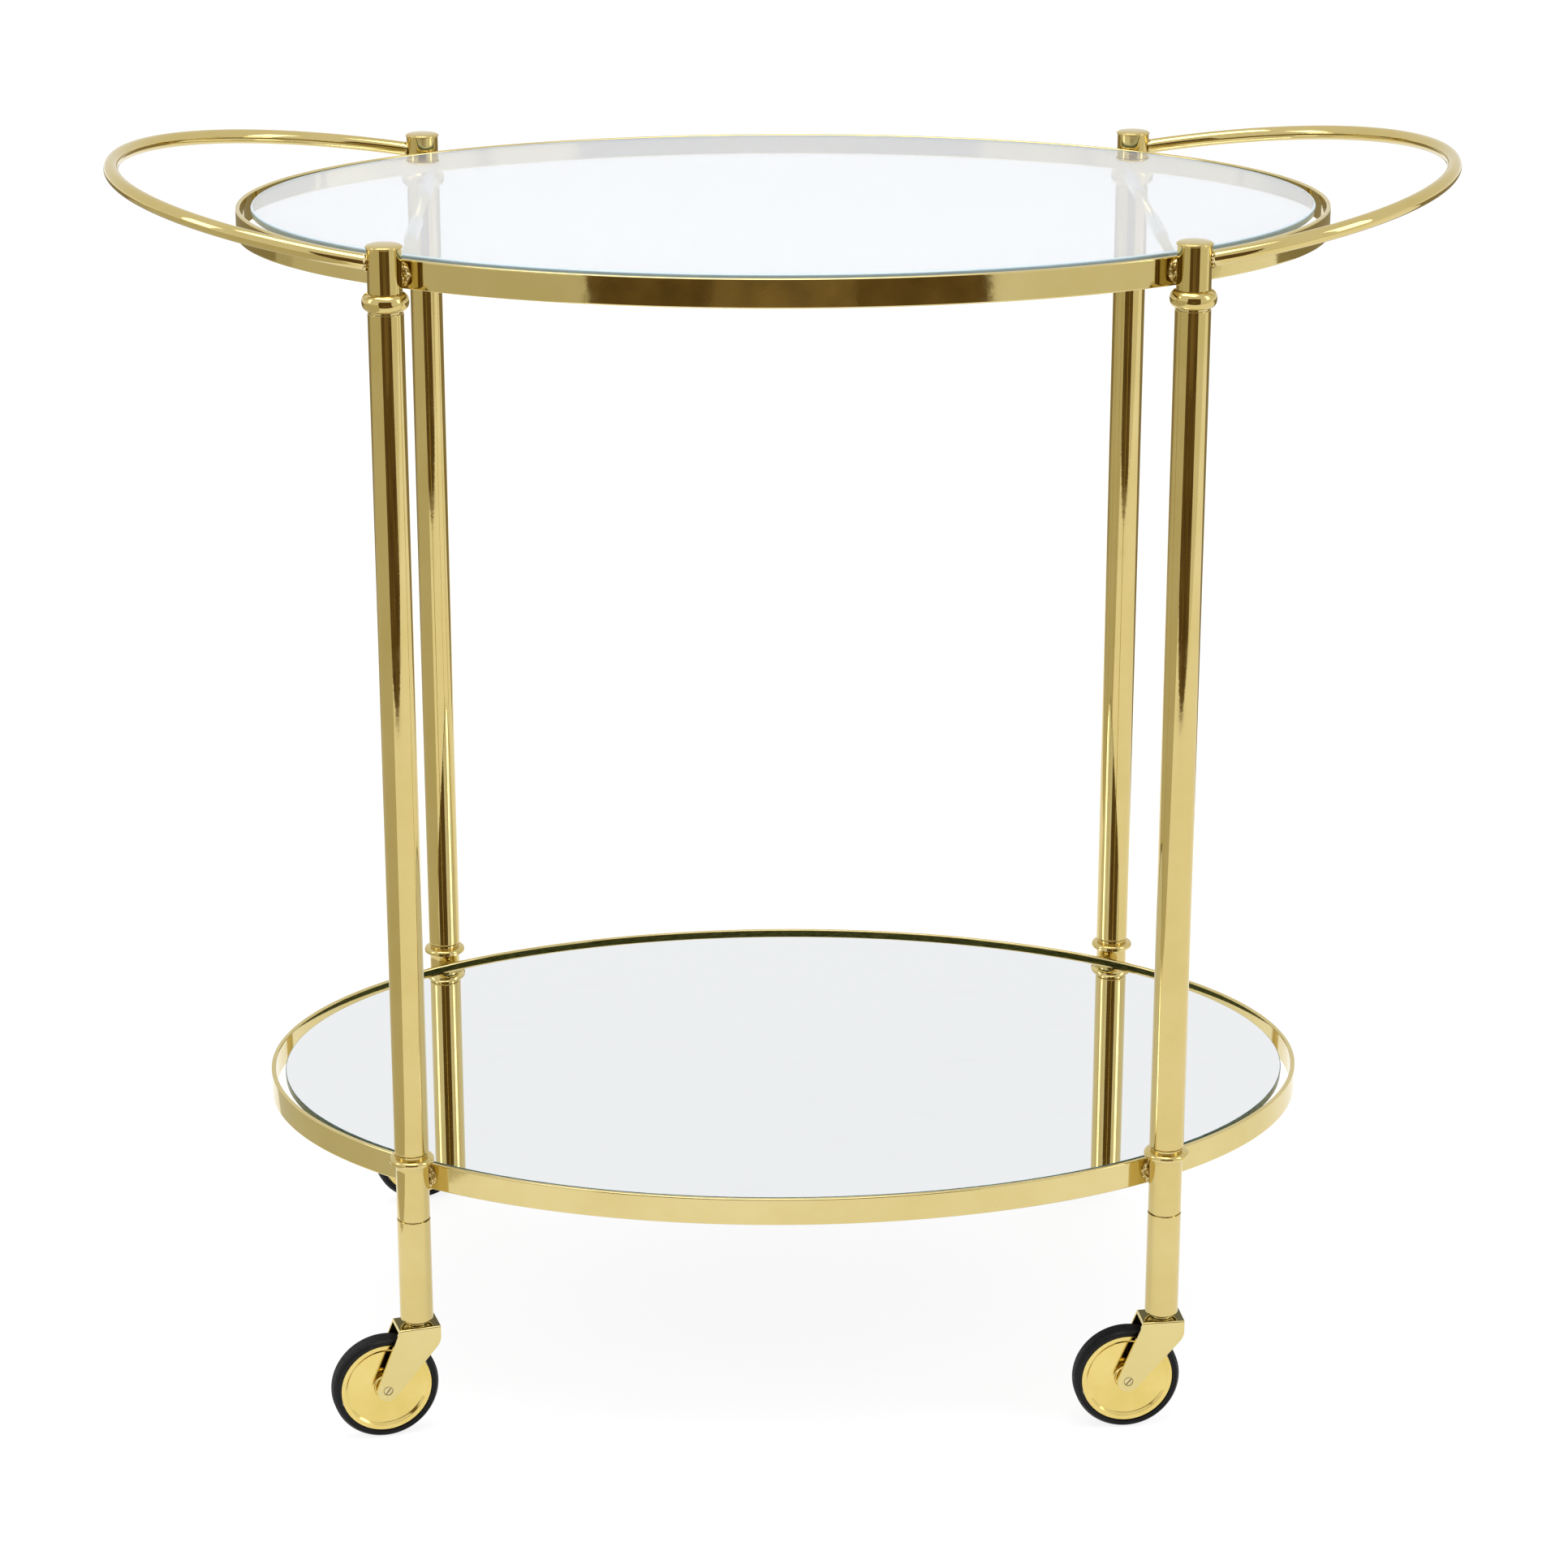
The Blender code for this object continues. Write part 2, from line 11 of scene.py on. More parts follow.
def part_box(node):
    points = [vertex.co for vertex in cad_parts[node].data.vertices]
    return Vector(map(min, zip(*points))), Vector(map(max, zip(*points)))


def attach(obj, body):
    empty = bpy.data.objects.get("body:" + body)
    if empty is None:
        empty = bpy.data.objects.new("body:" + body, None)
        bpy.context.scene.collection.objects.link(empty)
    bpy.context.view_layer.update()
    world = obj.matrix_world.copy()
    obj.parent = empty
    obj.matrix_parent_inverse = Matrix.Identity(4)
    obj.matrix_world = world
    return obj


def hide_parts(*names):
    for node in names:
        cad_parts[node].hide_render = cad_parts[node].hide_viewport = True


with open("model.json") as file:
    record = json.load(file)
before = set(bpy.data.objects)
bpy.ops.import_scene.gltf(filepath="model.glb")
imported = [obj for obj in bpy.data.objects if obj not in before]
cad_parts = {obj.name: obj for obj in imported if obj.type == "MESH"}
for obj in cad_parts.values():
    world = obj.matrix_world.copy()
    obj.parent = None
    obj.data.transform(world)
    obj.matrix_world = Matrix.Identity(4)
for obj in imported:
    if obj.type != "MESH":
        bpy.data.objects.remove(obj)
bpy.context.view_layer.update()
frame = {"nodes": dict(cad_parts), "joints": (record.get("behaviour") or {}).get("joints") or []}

# --- Sizes of the trim that the CAD frame leaves plain -------------------------------------

MM = 0.001
TURN_STEPS = 96
HOOP_STEPS = 320
HANDLE_STEPS = 144

STRIP_THICKNESS = 3.0 * MM
STRIP_EDGE = 1.0 * MM
GLASS_ARRIS = 1.4 * MM
MIRROR_ARRIS = 0.5 * MM

CAP_LIP = 0.9 * MM
TUBE_WALL = 1.3 * MM
TUBE_END_RADIUS = 1.7 * MM
POST_END_RADIUS = 0.35 * MM
NECK_DEPTH = 0.8 * MM
CUP_SHOULDER = 2.9 * MM
CUP_LENGTH = 8.7 * MM
FOOT_NECK = 1.0 * MM
SPIGOT = 12.0 * MM

FORK_SHEET = 2.0 * MM
FORK_SHOULDER = 11.5 * MM
FORK_FOLD = 1.1 * MM
FORK_CORNER = 3.6 * MM
FORK_BOSS_RADIUS = 7.3 * MM
FORK_HALF_LENGTH = 13.5 * MM

HUB_RADIUS = 5.0 * MM
AXLE_HEAD_RADIUS = 2.9 * MM
SLOT_WIDTH = 0.9 * MM
SLOT_DEPTH = 0.7 * MM
DISH_RADIUS = 25.4 * MM
DISH_FACE = 3.8 * MM
TYRE_INSIDE = 30.15 * MM

CORNERS = {"front_left": (-1, -1), "front_right": (1, -1), "rear_left": (-1, 1), "rear_right": (1, 1)}
joints = {joint["name"]: joint for joint in frame["joints"]}


# --- Reading the frame ---------------------------------------------------------------------


def bottom_of(node):
    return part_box(node)[0].z


def top_of(node):
    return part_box(node)[1].z


def radius_of(node):
    low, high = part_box(node)
    return (high.x - low.x) / 2


def leg_axis(corner):
    low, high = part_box(f"{corner}_leg_tube")
    return Vector(((low.x + high.x) / 2, (low.y + high.y) / 2, 0))


def heading_of(corner):
    """Where a caster trails, as an angle about Z."""
    axle = joints[f"{corner}_wheel_spin"]["axis"]
    return math.atan2(-axle[0], axle[1])


def half_width(node, corner):
    """How far a caster's node reaches from the wheel's middle, along the axle."""
    spin = joints[f"{corner}_wheel_spin"]
    axle, middle = Vector(spin["axis"]), Vector(spin["pos_m"])
    return max((vertex.co - middle).dot(axle) for vertex in frame["nodes"][node].data.vertices)


swivel = Vector(joints["front_left_swivel_turn"]["pos_m"])
hub = Vector(joints["front_left_wheel_spin"]["pos_m"])
wheel_radius = hub.z
trail = (hub - swivel).xy.length
fork_top = top_of("front_left_fork")
fork_half_width = half_width("front_left_fork", "front_left")


# --- Working on a piece --------------------------------------------------------------------


def leave_alone():
    bpy.ops.object.select_all(action="DESELECT")


def take(piece):
    leave_alone()
    piece.select_set(True)
    bpy.context.view_layer.objects.active = piece


def started(name):
    """The primitive just added, named, with its place in its mesh."""
    piece = bpy.context.object
    piece.name = name
    piece.data.name = name
    bpy.ops.object.transform_apply(location=True, rotation=True, scale=True)
    return piece


def open_up(piece, kind="EDGE"):
    take(piece)
    bpy.ops.object.mode_set(mode="EDIT")
    bpy.ops.mesh.select_mode(type=kind)
    bpy.ops.mesh.select_all(action="DESELECT")


def close_up():
    bpy.ops.object.mode_set(mode="OBJECT")


def pick_edges(test):
    """Selects the edges whose two ends both pass a test of their place."""
    shape = bmesh.from_edit_mesh(bpy.context.object.data)
    for edge in shape.edges:
        edge.select_set(all(test(vertex.co) for vertex in edge.verts))
    bmesh.update_edit_mesh(bpy.context.object.data)


def apply(piece, kind, **settings):
    modifier = piece.modifiers.new(kind.lower(), kind)
    for setting, value in settings.items():
        setattr(modifier, setting, value)
    take(piece)
    bpy.ops.object.modifier_apply(modifier=modifier.name)


def soften(piece, width, segments=3, angle=40):
    apply(piece, "BEVEL", width=width, segments=segments, limit_method="ANGLE",
          angle_limit=math.radians(angle), use_clamp_overlap=False)


def cut(piece, tool):
    apply(piece, "BOOLEAN", operation="DIFFERENCE", solver="EXACT", object=tool)
    bpy.data.objects.remove(tool, do_unlink=True)


def smooth(piece, angle=35):
    """Smooth shading that keeps the big faces flat up to their rounded edges."""
    take(piece)
    bpy.ops.object.shade_smooth_by_angle(angle=math.radians(angle))
    apply(piece, "WEIGHTED_NORMAL", keep_sharp=True)


def mark_bench(piece):
    """Keeps each point's place as the piece lay on the bench, for its finish to follow."""
    places = [value for vertex in piece.data.vertices for value in vertex.co]
    bench = piece.data.attributes.new("bench", "FLOAT_VECTOR", "POINT")
    bench.data.foreach_set("vector", places)


def fitted(pattern, name, place):
    """A copy of a bench pattern, put in its place in the cart."""
    piece = pattern.copy()
    piece.data = pattern.data.copy()
    piece.name = name
    piece.data.name = name
    bpy.context.scene.collection.objects.link(piece)
    piece.data.transform(place)
    return piece


def put_away(pattern):
    bpy.data.objects.remove(pattern, do_unlink=True)


def belongs(piece, body, slot, *nodes):
    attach(piece, body)
    if nodes:
        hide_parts(*nodes)


# --- Turning on the lathe ------------------------------------------------------------------


def rounded(corners, steps=4):
    """A turned outline from (radius, height, fillet) corners, each rounded by its fillet."""
    outline = []
    for index, (radius, height, fillet) in enumerate(corners):
        here = Vector((radius, height))
        if fillet == 0:
            outline.append(here)
            continue
        before = Vector(corners[index - 1][:2]) - here
        after = Vector(corners[(index + 1) % len(corners)][:2]) - here
        start = here + before.normalized() * fillet
        end = here + after.normalized() * fillet
        for step in range(steps + 1):
            share = step / steps
            outline.append(start * (1 - share) ** 2 + here * 2 * share * (1 - share) + end * share**2)
    return outline


def swell(middle, radii, start, end, steps=12, fullness=1.0):
    """A turned outline's round stretch, with angles in degrees."""
    outline = []
    for step in range(steps + 1):
        angle = math.radians(start + (end - start) * step / steps)
        across, along = math.cos(angle), math.sin(angle)
        across = math.copysign(abs(across) ** fullness, across)
        along = math.copysign(abs(along) ** fullness, along)
        outline.append(Vector((middle[0] + radii[0] * across, middle[1] + radii[1] * along)))
    return outline


def turned(name, outline, hollow=False, steps=TURN_STEPS):
    """A ring drawn through the (radius, height) stations of an outline, about Z."""
    radius, height = outline[0]
    leave_alone()
    bpy.ops.mesh.primitive_circle_add(vertices=steps, radius=radius, location=(0, 0, height))
    piece = started(name)
    open_up(piece)
    bpy.ops.mesh.select_all(action="SELECT")
    stations = outline[1:] + ([outline[0]] if hollow else [])
    for next_radius, next_height in stations:
        rise = (0, 0, next_height - height)
        bpy.ops.mesh.extrude_region_move(TRANSFORM_OT_translate={"value": rise})
        share = next_radius / radius
        bpy.ops.transform.resize(value=(share, share, 1), center_override=(0, 0, next_height))
        radius, height = next_radius, next_height
    bpy.ops.mesh.select_all(action="SELECT")
    bpy.ops.mesh.remove_doubles(threshold=0.000001)
    if not hollow:
        bpy.ops.mesh.fill_holes(sides=0)
    bpy.ops.mesh.select_all(action="SELECT")
    bpy.ops.mesh.normals_make_consistent(inside=False)
    close_up()
    smooth(piece)
    return piece


# --- Finishes ------------------------------------------------------------------------------


class Wire:
    """A socket in a finish's nodes. Maths on it adds the nodes that do the maths."""

    def __init__(self, finish, socket):
        self.finish = finish
        self.socket = socket

    def maths(self, operation, *values):
        return self.finish.add("ShaderNodeMath", {"operation": operation}, dict(enumerate(values)))

    def __add__(self, other):
        return self.maths("ADD", self, other)

    def __sub__(self, other):
        return self.maths("SUBTRACT", self, other)

    def __mul__(self, other):
        return self.maths("MULTIPLY", self, other)

    def __rsub__(self, other):
        return self.maths("SUBTRACT", other, self)

    __radd__ = __add__
    __rmul__ = __mul__

    def held(self):
        """The same value, kept between 0 and 1."""
        return self.finish.add("ShaderNodeMath", {"operation": "MULTIPLY", "use_clamp": True}, {0: self, 1: 1.0})

    def over(self, start, width):
        """0 below start, 1 above start + width, and a ramp between them."""
        return ((self - start) * (1 / width)).held()


class Finish:
    """A material with a Principled shader, and the nodes that vary it."""

    def __init__(self, name, **fixed):
        self.material = bpy.data.materials.new(name)
        self.material.use_nodes = True
        self.tree = self.material.node_tree
        self.shader = self.tree.nodes["Principled BSDF"]
        for socket, value in fixed.items():
            self.set(socket.replace("_", " "), value)

    def feed(self, socket, value):
        if isinstance(value, Wire):
            self.tree.links.new(value.socket, socket)
        else:
            socket.default_value = value

    def set(self, socket, value):
        self.feed(self.shader.inputs[socket], value)

    def add(self, kind, settings, inputs, output=0):
        node = self.tree.nodes.new(kind)
        for setting, value in settings.items():
            setattr(node, setting, value)
        for socket, value in inputs.items():
            self.feed(node.inputs[socket], value)
        return Wire(self, node.outputs[output])

    def bench(self):
        return self.add("ShaderNodeAttribute", {"attribute_name": "bench"}, {}, "Vector")

    def stretched(self, place, scale):
        return self.add("ShaderNodeVectorMath", {"operation": "MULTIPLY"}, {0: place, 1: scale})

    def noise(self, place, scale, detail=3.0, roughness=0.5):
        inputs = {"Vector": place, "Scale": scale, "Detail": detail, "Roughness": roughness}
        return self.add("ShaderNodeTexNoise", {}, inputs, "Fac")

    def split(self, place):
        node = self.tree.nodes.new("ShaderNodeSeparateXYZ")
        self.feed(node.inputs[0], place)
        return [Wire(self, socket) for socket in node.outputs]

    def blend(self, share, first, second):
        inputs = {0: share, 6: first, 7: second}
        return self.add("ShaderNodeMix", {"data_type": "RGBA"}, inputs, 2)

    def bump(self, height, depth, strength=1.0):
        inputs = {"Height": height, "Distance": depth, "Strength": strength}
        self.set("Normal", self.add("ShaderNodeBump", {}, inputs))


def brass(name, light, deep, roughness, orange_peel, drawn=(1.0, 1.0, 1.0)):
    """Polished brass plate: cloudy colour, tarnish specks, wiping marks and a faint orange peel."""
    finish = Finish(name, Metallic=1.0)
    place = finish.bench()
    clouds = finish.noise(place, 11.0, 4.0, 0.6).over(0.35, 0.3)
    specks = finish.noise(place, 900.0, 2.0).over(0.72, 0.08)
    haze = finish.noise(place, 60.0, 5.0, 0.65).over(0.45, 0.3)
    wiping = finish.noise(finish.stretched(place, drawn), 900.0, 2.0)
    corner = finish.add("ShaderNodeNewGeometry", {}, {}, "Pointiness")
    rubbed = corner.over(0.52, 0.06)
    colour = finish.blend(clouds, light, deep)
    colour = finish.blend(rubbed * 0.5, colour, (0.86, 0.76, 0.48, 1))
    colour = finish.blend(specks * 0.3, colour, (0.40, 0.28, 0.11, 1))
    finish.set("Base Color", colour)
    finish.set("Roughness", roughness + 0.05 * haze + 0.03 * wiping + 0.15 * specks - 0.02 * rubbed)
    peel = finish.noise(place, 240.0, 2.0)
    finish.bump(peel * orange_peel + wiping * 0.05 - specks * 0.2, 0.00004)
    return finish.material


def wheel_brass():
    """Yellow lacquered brass, with the rings of the lathe round the wheel's axis."""
    finish = Finish("lacquered_wheel_brass", Metallic=1.0, Coat_Roughness=0.06, Coat_IOR=1.45)
    place = finish.bench()
    across, along, _ = finish.split(place)
    radius = (across * across + along * along).maths("SQRT", across * across + along * along)
    ring = finish.add("ShaderNodeCombineXYZ", {}, {0: radius})
    rings = finish.noise(ring, 2400.0, 3.0)
    clouds = finish.noise(place, 30.0, 3.0).over(0.35, 0.3)
    specks = finish.noise(place, 900.0, 2.0).over(0.74, 0.05)
    colour = finish.blend(clouds, (0.78, 0.63, 0.25, 1), (0.72, 0.56, 0.18, 1))
    finish.set("Base Color", finish.blend(specks * 0.5, colour, (0.36, 0.22, 0.05, 1)))
    finish.set("Roughness", 0.08 + 0.08 * rings + 0.2 * specks)
    finish.set("Coat Weight", 0.35 + 0.2 * clouds)
    finish.bump(rings * 0.7 + finish.noise(place, 350.0, 2.0) * 0.3, 0.00003)
    return finish.material


def tyre_rubber():
    """Black rubber: a smooth side with moulding lines, and a dusty, pitted tread."""
    finish = Finish("tyre_rubber", Specular_IOR_Level=0.34)
    place = finish.bench()
    across, along, _ = finish.split(place)
    radius = (across * across + along * along).maths("SQRT", across * across + along * along)
    tread = radius.over(wheel_radius - 1.3 * MM, 0.5 * MM)
    pits = finish.noise(place, 1500.0, 3.0, 0.7)
    dust = finish.noise(place, 1700.0, 4.0, 0.75).over(0.52, 0.2) * tread
    bloom = finish.noise(place, 45.0, 4.0).over(0.4, 0.4)
    colour = finish.blend(bloom * 0.5, (0.003, 0.003, 0.0032, 1), (0.008, 0.008, 0.0085, 1))
    finish.set("Base Color", finish.blend(dust * 0.8, colour, (0.10, 0.10, 0.10, 1)))
    finish.set("Roughness", 0.24 + 0.34 * tread + 0.12 * bloom)
    ring = finish.add("ShaderNodeCombineXYZ", {}, {0: radius})
    moulding = finish.noise(ring, 1500.0, 1.0)
    finish.bump(pits * tread + moulding * 0.12, 0.0002)
    return finish.material


def plated_steel():
    finish = Finish("plated_steel", Metallic=1.0)
    place = finish.bench()
    brushed = finish.noise(finish.stretched(place, (1.0, 1.0, 0.08)), 2600.0, 2.0)
    stains = finish.noise(place, 300.0, 3.0).over(0.5, 0.2)
    finish.set("Base Color", finish.blend(stains, (0.68, 0.59, 0.33, 1), (0.48, 0.40, 0.20, 1)))
    finish.set("Roughness", 0.16 + 0.12 * brushed + 0.08 * stains)
    finish.bump(brushed, 0.00003)
    return finish.material


def weld_brass():
    """Plated weld: lumpy, with painted shade in its hollows and painted highlights on its tops."""
    finish = Finish("plated_weld", Metallic=1.0)
    place = finish.bench()
    lumps = finish.noise(place, 420.0, 3.0)
    # painted shade and highlight: the colour follows the lumps of the bump, dark in the hollows and bright on the tops
    painted_shade_to_highlight = lumps.over(0.44, 0.12)
    finish.set("Base Color", finish.blend(painted_shade_to_highlight, (0.42, 0.31, 0.12, 1), (0.84, 0.72, 0.42, 1)))
    finish.set("Roughness", 0.34 - 0.20 * painted_shade_to_highlight)
    finish.bump(lumps + finish.noise(place, 1400.0, 2.0) * 0.4, 0.0006)
    return finish.material


def let_lamps_through(finish, tint):
    """Lets the lamps' light through a clear finish, so that it throws only a faint shadow."""
    passing = finish.add("ShaderNodeBsdfTransparent", {}, {"Color": tint})
    lamp_ray = finish.add("ShaderNodeLightPath", {}, {}, "Is Shadow Ray")
    shown = Wire(finish, finish.shader.outputs[0])
    mixed = finish.add("ShaderNodeMixShader", {}, {0: lamp_ray, 1: shown, 2: passing})
    finish.feed(finish.tree.nodes["Material Output"].inputs["Surface"], mixed)


def clear_glass():
    """Float glass, with the odd smear on its faces."""
    finish = Finish("clear_glass", IOR=1.5, Transmission_Weight=0.78)
    place = finish.bench()
    smears = finish.noise(finish.stretched(place, (1.0, 2.5, 1.0)), 14.0, 5.0, 0.65).over(0.56, 0.2)
    finish.set("Base Color", finish.blend(smears * 0.4, (0.845, 0.865, 0.895, 1), (0.81, 0.835, 0.87, 1)))
    finish.set("Roughness", 0.0 + 0.015 * smears)
    let_lamps_through(finish, (0.97, 0.98, 0.98, 1))
    return finish.material


def glass_edge():
    """The polished edge of the float glass, which gathers its blue-green colour, with a painted highlight along its top
    arris.
    """
    finish = Finish("glass_edge", IOR=1.5, Specular_IOR_Level=0.6)
    place = finish.bench()
    streaks = finish.noise(finish.stretched(place, (1.0, 1.0, 12.0)), 160.0, 3.0)
    height = finish.split(place)[2]
    # painted highlight: the top arris is painted pale blue-white and the edge below it darker
    arris = height.over(1.5 * MM, 0.8 * MM)
    colour = finish.blend(arris, (0.33, 0.42, 0.46, 1), (0.60, 0.72, 0.80, 1))
    finish.set("Base Color", finish.blend(streaks.over(0.4, 0.3) * 0.3, colour, (0.50, 0.60, 0.66, 1)))
    finish.set("Roughness", 0.08 + 0.10 * streaks)
    finish.bump(streaks, 0.00005)
    return finish.material


def mirror_silver():
    finish = Finish("mirror_silver", Metallic=1.0, Coat_Weight=0.4, Coat_Roughness=0.01)
    place = finish.bench()
    smears = finish.noise(finish.stretched(place, (1.0, 2.2, 1.0)), 12.0, 5.0, 0.65).over(0.55, 0.2)
    finish.set("Base Color", finish.blend(smears * 0.5, (0.90, 0.92, 0.935, 1), (0.86, 0.885, 0.90, 1)))
    finish.set("Roughness", 0.008 + 0.03 * smears)
    return finish.material


def mirror_edge():
    finish = Finish("mirror_edge", IOR=1.5)
    place = finish.bench()
    streaks = finish.noise(finish.stretched(place, (1.0, 1.0, 9.0)), 180.0, 3.0)
    finish.set("Base Color", finish.blend(streaks.over(0.35, 0.3), (0.05, 0.09, 0.085, 1), (0.17, 0.25, 0.24, 1)))
    finish.set("Roughness", 0.12 + 0.12 * streaks)
    finish.bump(streaks, 0.00005)
    return finish.material


def mirror_paint():
    finish = Finish("mirror_back_paint")
    place = finish.bench()
    stipple = finish.noise(place, 900.0, 3.0)
    clouds = finish.noise(place, 16.0, 4.0)
    finish.set("Base Color", finish.blend(clouds, (0.13, 0.14, 0.145, 1), (0.19, 0.20, 0.205, 1)))
    finish.set("Roughness", 0.42 + 0.15 * stipple)
    finish.bump(stipple, 0.00006)
    return finish.material


def sleeve_plastic():
    """Soft clear tube, a little milky and scuffed."""
    finish = Finish("clear_sleeve", IOR=1.46, Transmission_Weight=0.75)
    place = finish.bench()
    milk = finish.noise(place, 120.0, 4.0).over(0.35, 0.35)
    finish.set("Base Color", finish.blend(milk, (0.93, 0.94, 0.945, 1), (0.80, 0.82, 0.83, 1)))
    finish.set("Roughness", 0.12 + 0.15 * milk)
    finish.bump(finish.noise(place, 700.0, 2.0), 0.00005)
    let_lamps_through(finish, (0.9, 0.9, 0.9, 1))
    return finish.material


tube_brass = brass("polished_brass", (0.67, 0.55, 0.26, 1), (0.62, 0.50, 0.21, 1), 0.035, 0.3, (1.0, 1.0, 0.15))
strip_brass = brass("strip_brass", (0.70, 0.59, 0.30, 1), (0.65, 0.54, 0.25, 1), 0.045, 0.4, (0.3, 0.3, 2.0))
fork_brass = brass("stamped_brass", (0.67, 0.56, 0.24, 1), (0.62, 0.51, 0.20, 1), 0.05, 0.4)
wheel_finish = wheel_brass()
rubber = tyre_rubber()
steel = plated_steel()
weld_finish = weld_brass()
glass = clear_glass()
glass_rim = glass_edge()
silver = mirror_silver()
mirror_rim = mirror_edge()
back_paint = mirror_paint()
sleeve_finish = sleeve_plastic()


# --- Hoops and shelves ---------------------------------------------------------------------


def hoop(name, node):
    """A bent strip: an oval wall given its thickness, with rolled edges."""
    low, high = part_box(node)
    leave_alone()
    bpy.ops.mesh.primitive_cylinder_add(
        vertices=HOOP_STEPS, radius=1, depth=high.z - low.z, end_fill_type="NOTHING",
        location=(0, 0, (low.z + high.z) / 2),
    )
    strip = started(name)
    open_up(strip)
    bpy.ops.mesh.select_all(action="SELECT")
    bpy.ops.transform.resize(value=(high.x, high.y, 1), center_override=(0, 0, 0))
    close_up()
    apply(strip, "SOLIDIFY", thickness=STRIP_THICKNESS, offset=-1, use_even_offset=True)
    soften(strip, STRIP_EDGE, 4)
    mark_bench(strip)
    smooth(strip, 50)
    strip.data.materials.append(strip_brass)
    belongs(strip, "frame", "polished_brass", node)
    return strip


def plate(name, node, arris, materials):
    """An oval glass plate with a ground edge; its face, rim and underside each have a finish."""
    low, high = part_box(node)
    middle = (low.z + high.z) / 2
    leave_alone()
    bpy.ops.mesh.primitive_cylinder_add(vertices=HOOP_STEPS, radius=1, depth=high.z - low.z)
    made = started(name)
    open_up(made)
    bpy.ops.mesh.select_all(action="SELECT")
    bpy.ops.transform.resize(value=(high.x, high.y, 1), center_override=(0, 0, 0))
    bpy.ops.mesh.select_all(action="DESELECT")
    half = (high.z - low.z) / 2
    for side in (-half, half):
        pick_edges(lambda place: abs(place.z - side) < 0.1 * MM)
        bpy.ops.mesh.bevel(offset=arris, segments=3, affect="EDGES")
        bpy.ops.mesh.select_all(action="DESELECT")
    close_up()
    for material in materials:
        made.data.materials.append(material)
    for face in made.data.polygons:
        upward = face.normal.z
        face.material_index = 0 if upward > 0.99 else 2 if upward < -0.99 else 1
    mark_bench(made)
    made.data.transform(Matrix.Translation((0, 0, middle)))
    smooth(made, 12)
    return made


upper_strip = hoop("upper_strip", "upper_hoop")
lower_strip = hoop("lower_strip", "lower_hoop")
glass_plate = plate("glass_plate", "top_glass", GLASS_ARRIS, (glass, glass_rim, glass))
belongs(glass_plate, "frame", "clear_glass", "top_glass")
mirror_plate = plate("mirror_plate", "lower_mirror", MIRROR_ARRIS, (silver, mirror_rim, back_paint))
belongs(mirror_plate, "frame", "silvered_mirror", "lower_mirror")


# --- Rods, sleeves and handles -------------------------------------------------------------


def along_y(node):
    """Lays a turned piece along Y at the middle of a CAD node."""
    low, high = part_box(node)
    return Matrix.Translation((low + high) / 2) @ Matrix.Rotation(math.pi / 2, 4, "X")


def support_rod(name, node):
    low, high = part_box(node)
    radius, half = (high.x - low.x) / 2, (high.y - low.y) / 2
    outline = rounded([(radius, -half, 0.6 * MM), (radius, half, 0.6 * MM)])
    ends = [Vector((radius * 0.3, -half))] + outline + [Vector((radius * 0.3, half))]
    rod = turned(name, ends, steps=40)
    mark_bench(rod)
    rod.data.transform(along_y(node))
    rod.data.materials.append(tube_brass)
    belongs(rod, "frame", "polished_brass", node)


def sleeve(name, node):
    low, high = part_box(node)
    outer, half = (high.x - low.x) / 2, (high.y - low.y) / 2
    inner = outer - 1.0 * MM
    corners = [(outer, -half, 0.3 * MM), (outer, half, 0.3 * MM), (inner, half, 0.2 * MM)]
    made = turned(name, rounded(corners + [(inner, -half, 0.2 * MM)]), hollow=True, steps=40)
    mark_bench(made)
    made.data.transform(along_y(node))
    made.data.materials.append(sleeve_finish)
    belongs(made, "frame", "clear_sleeve", node)


def weld_lump(name, place, size, turn=0.0, tilt=0.0):
    """A fillet of weld metal: a ball drawn out to size and roughened."""
    leave_alone()
    bpy.ops.mesh.primitive_ico_sphere_add(subdivisions=5, radius=0.5)
    lump = started(name)
    open_up(lump)
    bpy.ops.mesh.select_all(action="SELECT")
    bpy.ops.transform.resize(value=size, center_override=(0, 0, 0))
    close_up()
    lump.data.transform(Matrix.Translation(place) @ Matrix.Rotation(turn, 4, "Z") @ Matrix.Rotation(tilt, 4, "Y"))
    clouds = bpy.data.textures.new("weld_ripple", "CLOUDS")
    clouds.noise_scale = 1.7 * MM
    apply(lump, "DISPLACE", texture=clouds, texture_coords="LOCAL", strength=2.4 * MM, mid_level=0.5)
    mark_bench(lump)
    smooth(lump, 60)
    lump.data.materials.append(weld_finish)
    belongs(lump, "frame", "polished_brass")
    return lump


